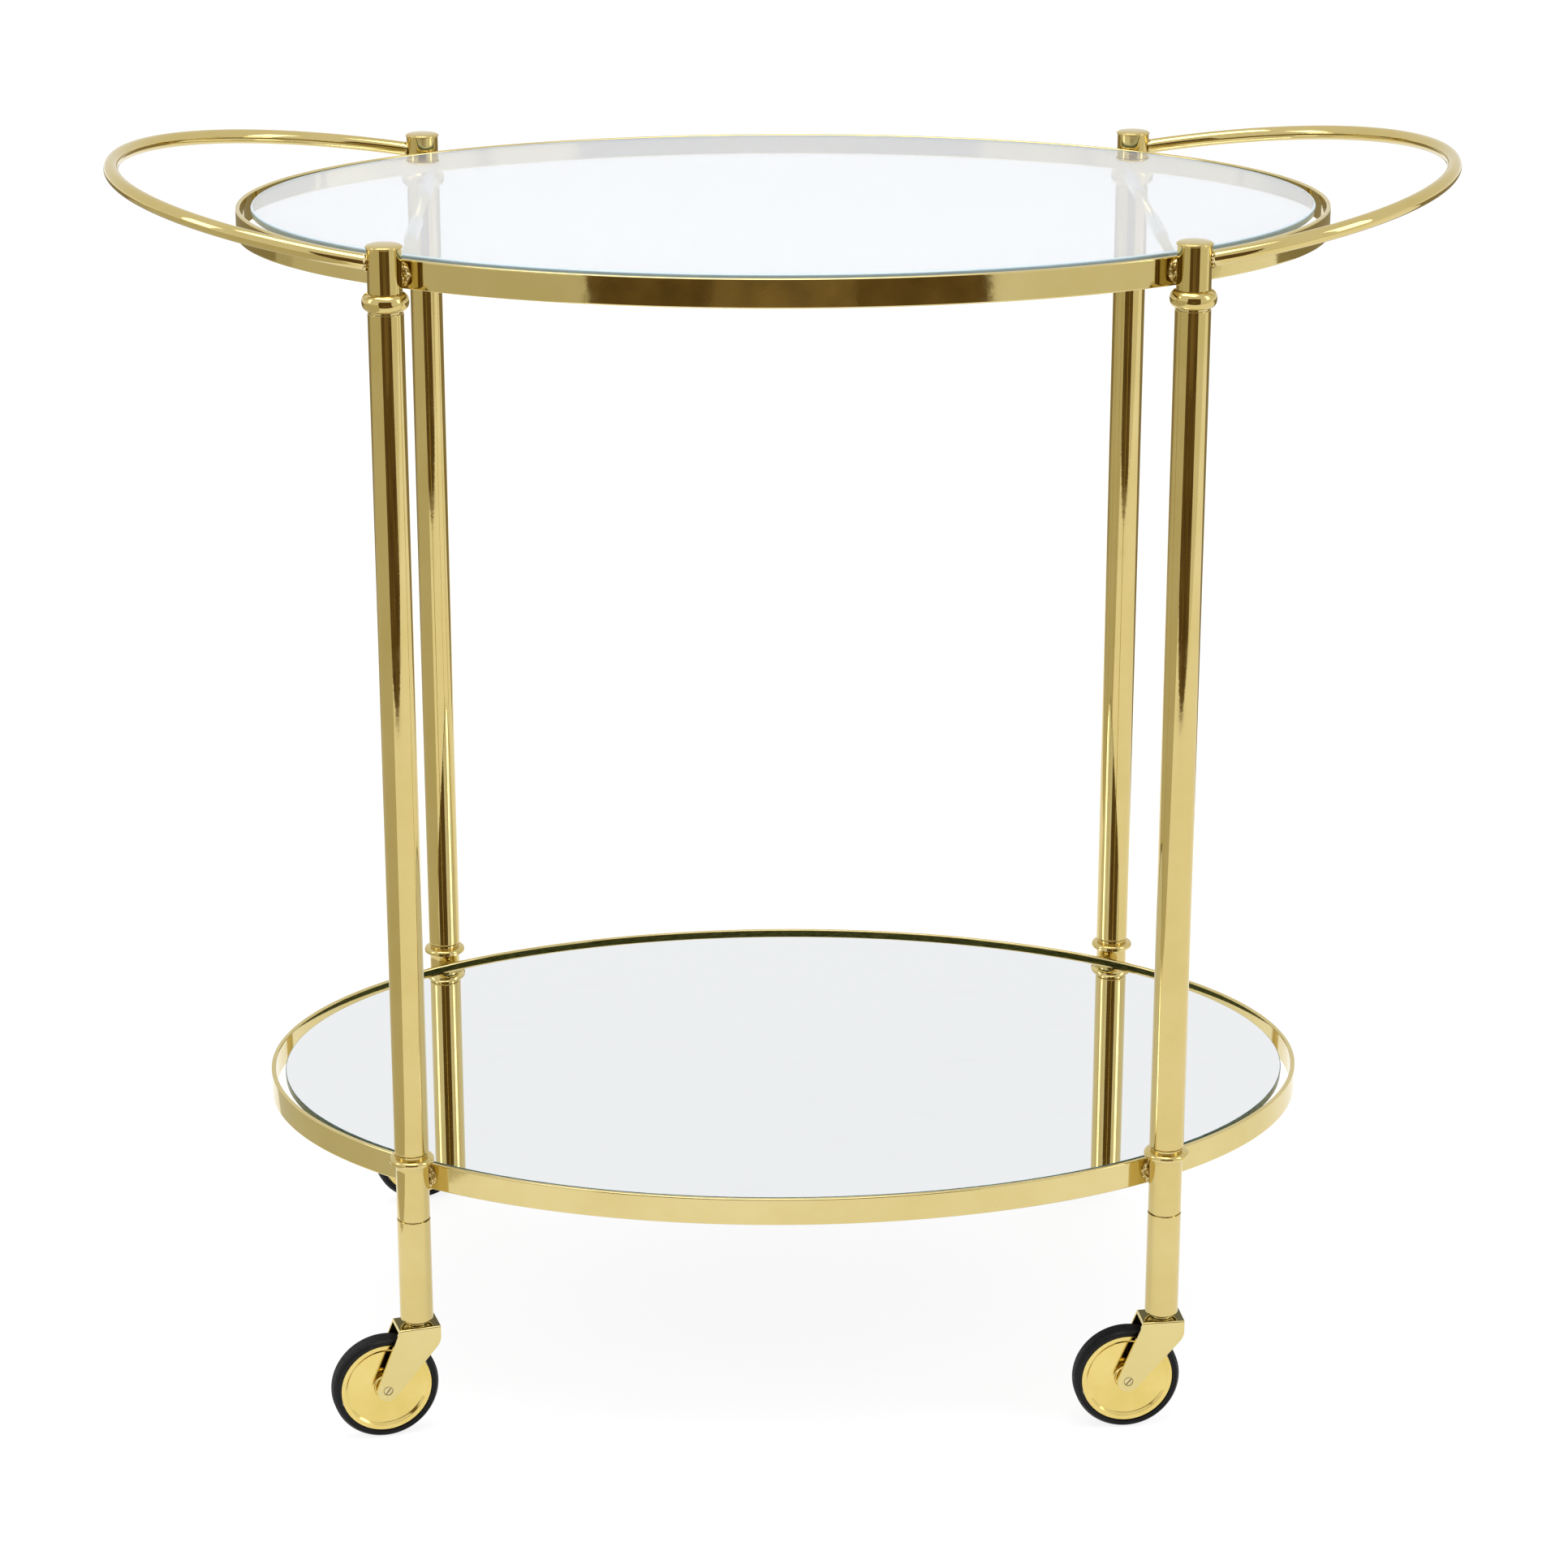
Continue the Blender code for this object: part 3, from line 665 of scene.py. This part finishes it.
def handle(name, node, side):
    """A round rod spun half a turn between two posts and tilted up, with a weld at each end."""
    low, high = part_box(node)
    axis = leg_axis("front_right")
    bow = axis.y * -1
    rod = HANDLE_ROD / 2
    outer = max(abs(low.x), abs(high.x)) - rod
    reach = outer - axis.x
    rise = high.z - rod - (low.z + rod)
    start_height = low.z + rod
    slope = math.atan2(rise, reach)
    clear = math.asin((radius_of("front_left_upper_post") - 0.4 * MM) / reach)
    sweep = math.pi - 2 * clear
    first = Vector((math.sin(clear), -math.cos(clear), 0)) * bow
    leave_alone()
    bpy.ops.mesh.primitive_circle_add(vertices=40, radius=rod, rotation=(0, math.pi / 2, clear), location=first)
    piece = started(name)
    open_up(piece)
    bpy.ops.mesh.select_all(action="SELECT")
    bpy.ops.mesh.spin(steps=HANDLE_STEPS, angle=-sweep, center=(0, 0, 0), axis=(0, 0, 1))
    bpy.ops.mesh.select_all(action="SELECT")
    bpy.ops.transform.resize(value=(math.hypot(reach, rise) / bow, 1, 1), center_override=(0, 0, 0))
    bpy.ops.mesh.fill_holes(sides=0)
    bpy.ops.mesh.select_all(action="SELECT")
    bpy.ops.mesh.normals_make_consistent(inside=False)
    close_up()
    mark_bench(piece)
    tilted = Matrix.Rotation(-slope, 4, "Y")
    placed = Matrix.Translation((axis.x, 0, start_height)) @ tilted
    turned_round = Matrix.Rotation(math.pi, 4, "Z") if side < 0 else Matrix.Identity(4)
    piece.data.transform(turned_round @ placed)
    smooth(piece, 50)
    piece.data.materials.append(tube_brass)
    belongs(piece, "frame", "polished_brass", node)
    for end, end_name in ((-1, "front"), (1, "rear")):
        place = Vector((side * (axis.x + radius_of("front_left_upper_post") + 0.6 * MM), end * bow, start_height + 1.2 * MM))
        weld_lump(f"{name}_{end_name}_weld", place, (4.2 * MM, 9.6 * MM, 10.4 * MM))


HANDLE_ROD = 9.4 * MM
handle("left_grip", "left_handle", -1)
handle("right_grip", "right_handle", 1)
for level, side in ((level, side) for level in ("upper", "lower") for side in ("left", "right")):
    support_rod(f"{level}_{side}_bar", f"{level}_{side}_rod")
for side in ("left", "right"):
    sleeve(f"upper_{side}_front_tube", f"upper_{side}_front_sleeve")
    sleeve(f"upper_{side}_rear_tube", f"upper_{side}_rear_sleeve")
    sleeve(f"lower_{side}_tube", f"lower_{side}_sleeve")


# --- Legs ----------------------------------------------------------------------------------

corner = "front_left"
post_radius = radius_of(f"{corner}_upper_post")
tube_radius = radius_of(f"{corner}_leg_tube")
foot_radius = radius_of(f"{corner}_foot_tube")
bead_radius = radius_of(f"{corner}_bead_collar")
neck_radius = tube_radius - NECK_DEPTH
post_top, bead_top = top_of(f"{corner}_upper_post"), bottom_of(f"{corner}_upper_post")
tube_top, tube_bottom = top_of(f"{corner}_leg_tube"), bottom_of(f"{corner}_leg_tube")
foot_top, foot_bottom = top_of(f"{corner}_foot_tube"), bottom_of(f"{corner}_foot_tube")


def pipe(name, radius, bottom, top, lower_round, upper_round):
    bore = radius - TUBE_WALL
    corners = [(radius, bottom, lower_round), (radius, top, upper_round)]
    return turned(name, rounded(corners + [(bore, top, 0.1 * MM), (bore, bottom, 0.1 * MM)]), hollow=True)


def cap_pattern():
    """A domed button with a crisp lip over the post."""
    edge = radius_of(f"{corner}_post_cap")
    plug = post_radius - TUBE_WALL - 0.3 * MM
    low, high = bottom_of(f"{corner}_post_cap"), top_of(f"{corner}_post_cap")
    lip = post_top + CAP_LIP
    body = rounded([(plug, low, 0), (plug, post_top + 0.1 * MM, 0), (edge, post_top + 0.1 * MM, 0.2 * MM),
                    (edge, lip, 0.25 * MM), (edge - 0.6 * MM, lip + 0.3 * MM, 0)])
    dome = swell((0, lip + 0.3 * MM), (edge - 0.6 * MM, high - lip - 0.3 * MM), 0, 88, 14)
    return turned("cap_pattern", body[:-1] + dome)


def bead_pattern():
    """A turned bead between the post above and the tube below, with a spigot for each."""
    bead_bottom = tube_top + 1.2 * MM
    middle = (bead_top + bead_bottom) / 2
    half = (bead_top - bead_bottom) / 2
    bore = tube_radius - TUBE_WALL - 0.3 * MM
    plug = post_radius - TUBE_WALL - 0.3 * MM
    core = bead_radius - half * 0.92
    lower = [Vector((bore, tube_top - SPIGOT)), Vector((bore, tube_top + 0.1 * MM)), Vector((neck_radius, tube_top + 0.1 * MM)),
             Vector((neck_radius, bead_bottom + 0.1 * MM))]
    ring = swell((core, middle), (bead_radius - core, half), -88, 88, 28, 0.86)
    upper = [Vector((post_radius - 0.5 * MM, bead_top)), Vector((plug, bead_top)), Vector((plug, bead_top + SPIGOT))]
    return turned("bead_pattern", lower + ring + upper)


def socket_pattern():
    """The cup under the tube and the lower post with it, down to the joint with the foot."""
    cup_top = tube_bottom - 2.2 * MM
    cup_bottom = cup_top - CUP_LENGTH
    bore = tube_radius - TUBE_WALL - 0.3 * MM
    foot_bore = foot_radius - TUBE_WALL - 0.4 * MM
    widest = cup_top - CUP_SHOULDER
    foot_joint = foot_top + FOOT_NECK
    joint_neck = min(post_radius, foot_radius) - NECK_DEPTH
    joint = rounded([(foot_bore, foot_top - SPIGOT, 0), (foot_bore, foot_top + 0.1 * MM, 0), (joint_neck, foot_top + 0.1 * MM, 0),
                     (joint_neck, foot_joint, 0), (post_radius, foot_joint, 0.35 * MM), (post_radius, cup_bottom, 0)])
    cove = swell((bead_radius - 0.1 * MM, cup_bottom), (bead_radius - post_radius - 0.1 * MM, widest - cup_bottom), 180, 97, 10)
    cup = swell((neck_radius + 0.9 * MM, widest), (bead_radius - neck_radius - 0.9 * MM, CUP_SHOULDER), -8, 84, 14, 0.8)
    neck = [Vector((neck_radius, cup_top - 0.2 * MM)), Vector((neck_radius, tube_bottom - 0.1 * MM)),
            Vector((bore, tube_bottom - 0.1 * MM)), Vector((bore, tube_bottom + SPIGOT))]
    return turned("socket_pattern", joint[:-1] + cove + cup + neck)


def stem_pattern():
    """The caster's stem: a grip in the foot, a rounded shoulder and a riveted pin."""
    grip = foot_radius - TUBE_WALL - 0.5 * MM
    shoulder = radius_of(f"{corner}_caster_stem") if False else 6.25 * MM
    low, high = bottom_of(f"{corner}_caster_stem"), top_of(f"{corner}_caster_stem")
    seat = fork_top + 0.2 * MM
    rivet_top = fork_top - FORK_SHEET - 0.2 * MM
    corners = [(3.2 * MM, low, 0), (5.0 * MM, low + 0.7 * MM, 0.3 * MM), (5.0 * MM, rivet_top, 0.2 * MM), (2.9 * MM, rivet_top, 0),
               (2.9 * MM, seat, 0), (shoulder + 0.9 * MM, seat, 0.3 * MM), (shoulder + 0.9 * MM, seat + 1.1 * MM, 0.4 * MM),
               (shoulder - 0.6 * MM, seat + 1.3 * MM, 0.2 * MM), (shoulder - 0.6 * MM, foot_bottom, 0.3 * MM),
               (grip, foot_bottom + 0.6 * MM, 0.3 * MM), (grip, high, 0.5 * MM)]
    return turned("stem_pattern", rounded(corners) + [Vector((1 * MM, high))], steps=64)


# name of the piece, the CAD node it stands for, its pattern, finish and slot
leg_patterns = [
    ("cap", "post_cap", cap_pattern(), tube_brass, "polished_brass"),
    ("post", "upper_post", pipe("post_pattern", post_radius, bead_top, post_top, 0.3 * MM, POST_END_RADIUS), tube_brass, "polished_brass"),
    ("bead", "bead_collar", bead_pattern(), tube_brass, "polished_brass"),
    ("tube", "leg_tube", pipe("tube_pattern", tube_radius, tube_bottom, tube_top, TUBE_END_RADIUS, 0.4 * MM), tube_brass, "polished_brass"),
    ("socket", "lower_socket", socket_pattern(), tube_brass, "polished_brass"),
    ("foot", "foot_tube", pipe("foot_pattern", foot_radius, foot_bottom, foot_top, 0.7 * MM, 0.35 * MM), tube_brass, "polished_brass"),
    ("stem", "caster_stem", stem_pattern(), steel, "plated_steel"),
]
for name, node, pattern, finish, slot in leg_patterns:
    mark_bench(pattern)
    pattern.data.materials.append(finish)
    for corner_name in CORNERS:
        piece = fitted(pattern, f"{corner_name}_{name}", Matrix.Translation(leg_axis(corner_name)))
        belongs(piece, "frame", slot, f"{corner_name}_{node}")
    put_away(pattern)


def leg_welds(corner_name):
    """The two welds between a leg and the hoops inside it."""
    side_x, side_y = CORNERS[corner_name]
    axis = leg_axis(corner_name)
    _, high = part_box("upper_hoop")
    # the oval's normal through the leg's axis
    toward = Vector((-axis.x / high.x**2, -axis.y / high.y**2, 0)).normalized()
    for level in ("upper", "lower"):
        low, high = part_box(f"{level}_hoop")
        place = axis + toward * (post_radius + 0.9 * MM)
        place.z = (low.z + high.z) / 2
        turn = math.atan2(toward.y, toward.x)
        weld_lump(f"{corner_name}_{level}_weld", place, (5.0 * MM, 20.0 * MM, 17.0 * MM), turn)


for corner_name in CORNERS:
    leg_welds(corner_name)


# --- Casters -------------------------------------------------------------------------------


def fork_pattern():
    """A folded fork: the skin round its top block and its boss, hollowed and drilled."""
    leave_alone()
    bpy.ops.mesh.primitive_cube_add(size=1, location=(0, 0, fork_top - FORK_SHOULDER / 2))
    bpy.context.object.scale = (2 * FORK_HALF_LENGTH, 2 * fork_half_width, FORK_SHOULDER)
    fork = started("fork_pattern")
    open_up(fork)
    bpy.ops.mesh.primitive_cylinder_add(
        vertices=64, radius=FORK_BOSS_RADIUS, depth=2 * fork_half_width,
        location=(trail, 0, wheel_radius), rotation=(math.pi / 2, 0, 0),
    )
    bpy.ops.mesh.select_all(action="SELECT")
    bpy.ops.mesh.convex_hull()
    bpy.ops.mesh.select_all(action="SELECT")
    bpy.ops.mesh.dissolve_limited(angle_limit=math.radians(1))
    bpy.ops.mesh.select_all(action="DESELECT")
    pick_edges(lambda place: abs(place.z - fork_top + FORK_SHOULDER) < 0.1 * MM)
    bpy.ops.mesh.bevel(offset=FORK_CORNER, segments=5, affect="EDGES")
    bpy.ops.mesh.select_all(action="DESELECT")
    pick_edges(lambda place: place.z > fork_top - 0.1 * MM)
    shape = bmesh.from_edit_mesh(fork.data)
    for edge in shape.edges:
        along = edge.verts[0].co - edge.verts[1].co
        if abs(along.x) < abs(along.y):
            edge.select_set(False)
    bmesh.update_edit_mesh(fork.data)
    bpy.ops.mesh.bevel(offset=FORK_FOLD, segments=5, affect="EDGES")
    close_up()
    inside = 2 * (fork_half_width - FORK_SHEET)
    hollow_top = fork_top - FORK_SHEET
    leave_alone()
    bpy.ops.mesh.primitive_cube_add(size=1, location=(trail / 2, 0, hollow_top / 2))
    bpy.context.object.scale = (120 * MM, inside, hollow_top)
    cut(fork, started("hollow"))
    leave_alone()
    bpy.ops.mesh.primitive_cylinder_add(
        vertices=48, radius=AXLE_HEAD_RADIUS + 0.15 * MM, depth=60 * MM,
        location=(trail, 0, wheel_radius), rotation=(math.pi / 2, 0, 0),
    )
    cut(fork, started("axle_hole"))
    leave_alone()
    bpy.ops.mesh.primitive_cylinder_add(vertices=48, radius=3.1 * MM, depth=10 * MM, location=(0, 0, fork_top))
    cut(fork, started("pivot_hole"))
    soften(fork, 0.22 * MM, 2, 50)
    smooth(fork, 30)
    return fork


def axle_pattern():
    """The axle screw, lying along Y, with a slot across its front head."""
    outer = fork_half_width
    head, shank = AXLE_HEAD_RADIUS, 2.4 * MM
    inner = outer - FORK_SHEET
    corners = [(head - 0.5 * MM, -outer, 0), (head, -outer + 0.25 * MM, 0.2 * MM), (head, -inner, 0.1 * MM), (shank, -inner, 0),
               (shank, inner, 0), (head, inner, 0.1 * MM), (head, outer - 0.25 * MM, 0.2 * MM), (head - 0.5 * MM, outer, 0)]
    screw = turned("axle_pattern", rounded(corners), steps=64)
    leave_alone()
    bpy.ops.mesh.primitive_cube_add(size=1, location=(0, 0, -outer))
    bpy.context.object.scale = (4 * head, SLOT_WIDTH, 2 * SLOT_DEPTH)
    bpy.context.object.rotation_euler.z = math.radians(-50)
    cut(screw, started("slot"))
    smooth(screw, 30)
    return screw


def wheel_pattern():
    """The wheel's disc: a dished middle, a step up to the flange, and a hub with two rings."""
    flange = half_width("front_left_wheel", "front_left")
    hub_face = flange
    rim_face = 5.5 * MM
    rim = TYRE_INSIDE - 0.2 * MM
    bore = 2.65 * MM
    half = [
        (rim, rim_face, 0.35 * MM), (rim - 3.0 * MM, rim_face - 0.2 * MM, 0.3 * MM),
        (DISH_RADIUS + 1.9 * MM, rim_face - 0.3 * MM, 0.3 * MM), (DISH_RADIUS, DISH_FACE, 0.4 * MM),
        (DISH_RADIUS - 8 * MM, DISH_FACE - 0.15 * MM, 0.4 * MM), (HUB_RADIUS + 3.2 * MM, DISH_FACE - 0.3 * MM, 0.3 * MM),
        (HUB_RADIUS + 2.4 * MM, DISH_FACE + 0.9 * MM, 0.3 * MM), (HUB_RADIUS + 0.3 * MM, DISH_FACE + 1.0 * MM, 0.2 * MM),
        (HUB_RADIUS, DISH_FACE + 2.0 * MM, 0.2 * MM), (HUB_RADIUS, hub_face, 0.4 * MM), (bore, hub_face, 0.1 * MM),
    ]
    mirrored = [(radius, -height, fillet) for radius, height, fillet in reversed(half)]
    return turned("wheel_pattern", rounded(half + mirrored), hollow=True, steps=128)


def tyre_pattern():
    """A tyre with a flat tread, a moulded line near each shoulder and slightly bellied sides."""
    side = half_width("front_left_tyre", "front_left")
    outer = wheel_radius
    half = [
        (outer - 0.05 * MM, 0.1 * MM, 0), (outer - 0.1 * MM, side * 0.55, 0.6 * MM), (outer - 1.1 * MM, side - 0.9 * MM, 0.7 * MM),
        (outer - 1.6 * MM, side - 0.45 * MM, 0.2 * MM), (outer - 1.9 * MM, side - 0.05 * MM, 0.2 * MM),
        (outer - 2.6 * MM, side, 0.25 * MM), (outer - 2.9 * MM, side - 0.45 * MM, 0.15 * MM),
        (outer - 3.9 * MM, side - 0.5 * MM, 0.4 * MM), (TYRE_INSIDE + 0.1 * MM, side - 0.8 * MM, 0.3 * MM),
        (TYRE_INSIDE, 0.2 * MM, 0),
    ]
    mirrored = [(radius, -height, fillet) for radius, height, fillet in reversed(half)]
    return turned("tyre_pattern", rounded(half + mirrored), hollow=True, steps=160)


laid_along_axle = Matrix.Translation((trail, 0, wheel_radius)) @ Matrix.Rotation(math.pi / 2, 4, "X")
caster_patterns = [
    ("cheeks", "fork", fork_pattern(), fork_brass, "polished_brass", "swivel", Matrix.Identity(4)),
    ("screw", "axle", axle_pattern(), steel, "plated_steel", "swivel", laid_along_axle),
    ("disc", "wheel", wheel_pattern(), wheel_finish, "wheel_brass", "roller", laid_along_axle),
    ("rubber", "tyre", tyre_pattern(), rubber, "tyre_rubber", "roller", laid_along_axle),
]
for name, node, pattern, finish, slot, body, laid in caster_patterns:
    mark_bench(pattern)
    pattern.data.materials.append(finish)
    for corner_name in CORNERS:
        pivot = Matrix.Translation(leg_axis(corner_name)) @ Matrix.Rotation(heading_of(corner_name), 4, "Z")
        piece = fitted(pattern, f"{corner_name}_{name}", pivot @ laid)
        belongs(piece, f"{corner_name}_{body}", slot, f"{corner_name}_{node}")
    put_away(pattern)


# --- Floor, light and camera ---------------------------------------------------------------


def floor():
    """White paper, lit a little from below as on a light table."""
    leave_alone()
    bpy.ops.mesh.primitive_plane_add(size=60)
    ground = started("floor")
    finish = Finish("floor_paper", Roughness=0.85, Specular_IOR_Level=0.1, Emission_Strength=0.70)
    finish.set("Base Color", (0.24, 0.24, 0.24, 1))
    finish.set("Emission Color", (1, 1, 1, 1))
    ground.data.materials.append(finish.material)


def reflector(name, tone, corners, unevenness=0.0):
    """A flat card that only shows in polished surfaces, as a studio's flags do."""
    leave_alone()
    bpy.ops.mesh.primitive_plane_add(size=2)
    card = started(name)
    for vertex, corner_place in zip(card.data.vertices, corners):
        vertex.co = corner_place
    finish = Finish(name, Base_Color=(0, 0, 0, 1), Specular_IOR_Level=0.0, Emission_Strength=1.0)
    place = finish.add("ShaderNodeTexCoord", {}, {}, "Object")
    patches = finish.noise(place, 3.2, 2.0, 0.6).over(0.3, 0.4)
    dim, bright = [(*(part * share for part in tone), 1) for share in (1 - unevenness, 1 + unevenness)]
    finish.set("Emission Color", finish.blend(patches, dim, bright))
    card.data.materials.append(finish.material)
    card.visible_camera = False
    card.visible_diffuse = False
    card.visible_shadow = False
    card.visible_transmission = False


def soft_box(name, place, aim, size, power):
    lamp = bpy.data.lights.new(name, "AREA")
    lamp.shape = "RECTANGLE"
    lamp.size, lamp.size_y = size
    lamp.energy = power
    box = bpy.data.objects.new(name, lamp)
    bpy.context.scene.collection.objects.link(box)
    box.location = place
    box.rotation_euler = (Vector(aim) - Vector(place)).to_track_quat("-Z", "Y").to_euler()


def studio():
    """White walls and three soft boxes, with the dark end of the room behind the camera."""
    world = bpy.data.worlds.new("studio")
    world.use_nodes = True
    world.node_tree.nodes["Background"].inputs["Color"].default_value = (1, 1, 1, 1)
    world.node_tree.nodes["Background"].inputs["Strength"].default_value = 0.78
    bpy.context.scene.world = world
    bpy.context.scene.view_settings.view_transform = "Standard"
    bpy.context.scene.view_settings.look = "Medium High Contrast"
    soft_box("top_box", (-0.3, -0.4, 3.2), (0, 0, 0.4), (2.4, 1.4), 24)
    soft_box("right_box", (2.6, -1.0, 1.8), (0, 0, 0.5), (0.8, 1.8), 8)
    soft_box("left_box", (-2.8, -0.6, 1.7), (0, 0, 0.5), (0.7, 1.6), 6)
    dark, grey, pale, dim = (0.145, 0.10, 0.045), (0.58, 0.56, 0.47), (0.74, 0.73, 0.68), (0.30, 0.26, 0.17)
    near, far, low, high = -1.7, -7.0, 0.006, 4.0
    left_near, left_far, right_near, right_far = -0.95, -4.1, 1.1, 4.15
    reflector("dark_floor", dark, [(left_far, far, low), (right_far, far, low), (left_near, near, low), (right_near, near, low)], 0.4)
    reflector("dark_end", dark, [(left_far, far, 0), (right_far, far, 0), (left_far, far, high), (right_far, far, high)], 0.4)
    reflector("left_floor", grey, [(-9.0, far, low), (left_far, far, low), (-9.0, 1.5, low), (-0.55, 1.5, low)])
    reflector("left_floor_front", grey, [(left_far, far, low), (left_near, near, low), (-0.55, 1.5, low), (-0.55, -0.6, low)])
    for side in (-1, 1):
        across = [(side * 0.55, 0.9, low), (side * 4.0, 0.9, low), (side * 0.55, 5.0, low), (side * 4.0, 5.0, low)]
        reflector("back_floor", dim, across)
    reflector("front_floor", (0.21, 0.155, 0.08), [(-1.0, -6.0, 0.02), (1.0, -6.0, 0.02), (-0.6, -3.0, 0.02), (0.6, -3.0, 0.02)], 0.35)
    reflector("right_floor", pale, [(right_far, far, low), (9.0, far, low), (right_near, near, low), (9.0, 1.5, low)])


def camera():
    lens = bpy.data.cameras.new("camera")
    lens.lens = 96.87
    lens.sensor_width = 36
    lens.clip_end = 100
    view = bpy.data.objects.new("camera", lens)
    bpy.context.scene.collection.objects.link(view)
    view.location = (-0.0541, -2.6723, 1.2908)
    view.rotation_euler = (math.radians(90 - 18.822), 0, math.radians(-1.163))
    bpy.context.scene.camera = view


floor()
studio()
camera()
